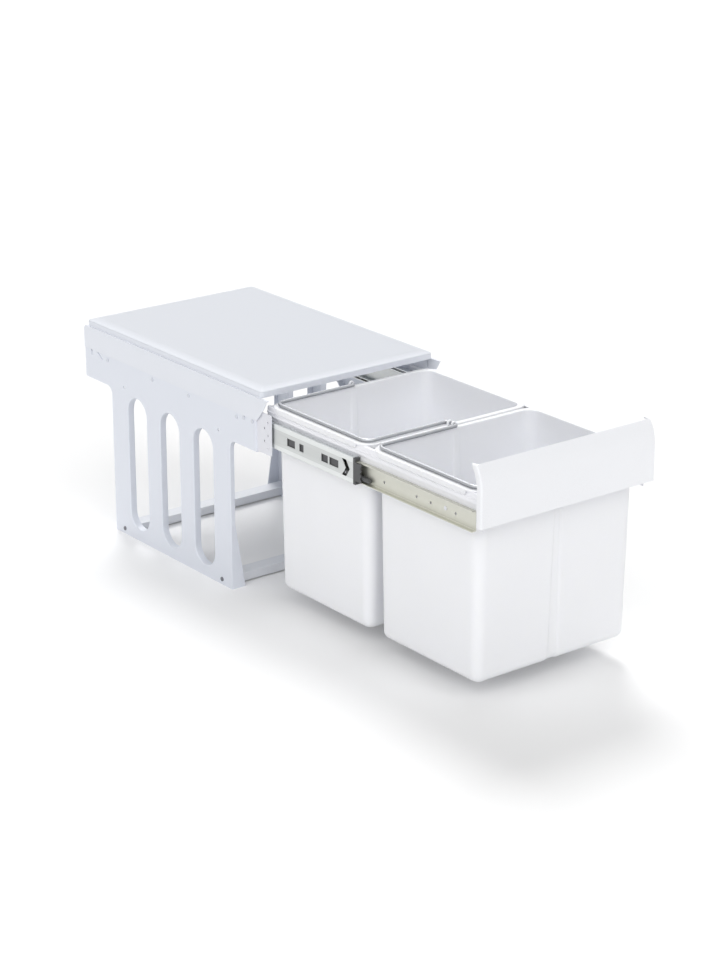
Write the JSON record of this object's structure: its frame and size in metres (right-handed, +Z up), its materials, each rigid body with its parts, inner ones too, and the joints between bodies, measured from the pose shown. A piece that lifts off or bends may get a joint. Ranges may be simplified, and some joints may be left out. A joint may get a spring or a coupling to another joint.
{
  "type": "pull out bin frame",
  "caption": "Pull-out waste unit for a base cabinet: slotted housing with a flat cover, ball-bearing slides, and a carrier with bins that lift out by wire bails",
  "frame": {"origin": "middle of the four base screws, on the cabinet floor, under the middle of the housing", "axes": "+X to the right as seen from the front, -Y the way the carrier pulls out, +Z up"},
  "size_m": [0.344, 1.029, 0.379],
  "materials": {
    "case_plastic": "fine satin, pale lavender white",
    "cover_plastic": "fine satin, warm grey white",
    "white_paint": "smooth white powder coat",
    "plate_plastic": "smooth satin white",
    "bin_plastic": "slightly translucent white polypropylene",
    "plated_steel": "bright zinc plate",
    "yellow_zinc": "warm zinc plate",
    "ball_steel": "polished steel",
    "black_plastic": "black moulded plastic",
    "wire_steel": "grey plated wire",
    "screw_steel": "bright screw and rivet steel"
  },
  "bodies": {
    "case": {"left_side_panel": "case_plastic", "right_side_panel": "case_plastic", "left_side_trim": "case_plastic", "right_side_trim": "case_plastic", "top_cover": "cover_plastic", "left_slide_bracket": "white_paint", "right_slide_bracket": "white_paint", "left_outer_rail": "plated_steel", "right_outer_rail": "plated_steel", "front_base_crossbar": "white_paint", "rear_base_crossbar": "white_paint", "rear_top_crossbar": "white_paint", "slide_rivets": "screw_steel", "crossbar_screws": "screw_steel"},
    "carrier": {"left_inner_rail": "yellow_zinc", "right_inner_rail": "yellow_zinc", "left_carrier_rail": "white_paint", "right_carrier_rail": "white_paint", "rear_carrier_crossbar": "white_paint", "front_plate": "plate_plastic", "plate_screws": "screw_steel", "carrier_rivets": "screw_steel", "lever_pins": "screw_steel"},
    "front_tub": {"front_bin": "bin_plastic"},
    "rear_tub": {"rear_bin": "bin_plastic"},
    "front_bail": {"front_bin_bail": "wire_steel"},
    "rear_bail": {"rear_bin_bail": "wire_steel"},
    "left_middle": {"left_middle_rail": "plated_steel", "left_rail_stop": "black_plastic"},
    "left_outer_retainer": {"left_outer_cage": "plated_steel", "left_outer_balls": "ball_steel"},
    "left_inner_retainer": {"left_inner_cage": "plated_steel", "left_inner_balls": "ball_steel"},
    "left_lever": {"left_release_lever": "black_plastic"},
    "right_middle": {"right_middle_rail": "plated_steel", "right_rail_stop": "black_plastic"},
    "right_outer_retainer": {"right_outer_cage": "plated_steel", "right_outer_balls": "ball_steel"},
    "right_inner_retainer": {"right_inner_cage": "plated_steel", "right_inner_balls": "ball_steel"},
    "right_lever": {"right_release_lever": "black_plastic"}
  },
  "joints": [
    {"name": "carrier_slide", "type": "slide", "parent": "case", "child": "carrier", "axis": [0, 1, 0], "range_m": [0, 0.497]},
    {"name": "left_middle_slide", "type": "slide", "parent": "case", "child": "left_middle", "axis": [0, 1, 0], "range_m": [0, 0.2485]},
    {"name": "left_outer_retainer_slide", "type": "slide", "parent": "case", "child": "left_outer_retainer", "axis": [0, 1, 0], "range_m": [0, 0.12425]},
    {"name": "left_inner_retainer_slide", "type": "slide", "parent": "case", "child": "left_inner_retainer", "axis": [0, 1, 0], "range_m": [0, 0.37275]},
    {"name": "right_middle_slide", "type": "slide", "parent": "case", "child": "right_middle", "axis": [0, 1, 0], "range_m": [0, 0.2485]},
    {"name": "right_outer_retainer_slide", "type": "slide", "parent": "case", "child": "right_outer_retainer", "axis": [0, 1, 0], "range_m": [0, 0.12425]},
    {"name": "right_inner_retainer_slide", "type": "slide", "parent": "case", "child": "right_inner_retainer", "axis": [0, 1, 0], "range_m": [0, 0.37275]},
    {"name": "front_bin_lift", "type": "slide", "parent": "carrier", "child": "front_tub", "axis": [0, 0, -1], "range_m": [-0.305, 0]},
    {"name": "front_bail_hinge", "type": "hinge", "parent": "front_tub", "child": "front_bail", "pos_m": [0, -0.6372, 0.33705], "axis": [0, -1, 0], "range_deg": [-180, 0]},
    {"name": "rear_bin_lift", "type": "slide", "parent": "carrier", "child": "rear_tub", "axis": [0, 0, -1], "range_m": [-0.305, 0]},
    {"name": "rear_bail_hinge", "type": "hinge", "parent": "rear_tub", "child": "rear_bail", "pos_m": [0, -0.3852, 0.33705], "axis": [0, -1, 0], "range_deg": [-180, 0]},
    {"name": "left_lever_hinge", "type": "hinge", "parent": "carrier", "child": "left_lever", "pos_m": [-0.1597, -0.46, 0.282], "axis": [1, 0, 0], "range_deg": [-8, 3]},
    {"name": "right_lever_hinge", "type": "hinge", "parent": "carrier", "child": "right_lever", "pos_m": [0.1597, -0.46, 0.282], "axis": [1, 0, 0], "range_deg": [-8, 3]}
  ],
  "couplings": [
    {"joint": "left_middle_slide", "follows": "carrier_slide", "ratio": 0.5},
    {"joint": "left_outer_retainer_slide", "follows": "carrier_slide", "ratio": 0.25},
    {"joint": "left_inner_retainer_slide", "follows": "carrier_slide", "ratio": 0.75},
    {"joint": "right_middle_slide", "follows": "carrier_slide", "ratio": 0.5},
    {"joint": "right_outer_retainer_slide", "follows": "carrier_slide", "ratio": 0.25},
    {"joint": "right_inner_retainer_slide", "follows": "carrier_slide", "ratio": 0.75}
  ]
}
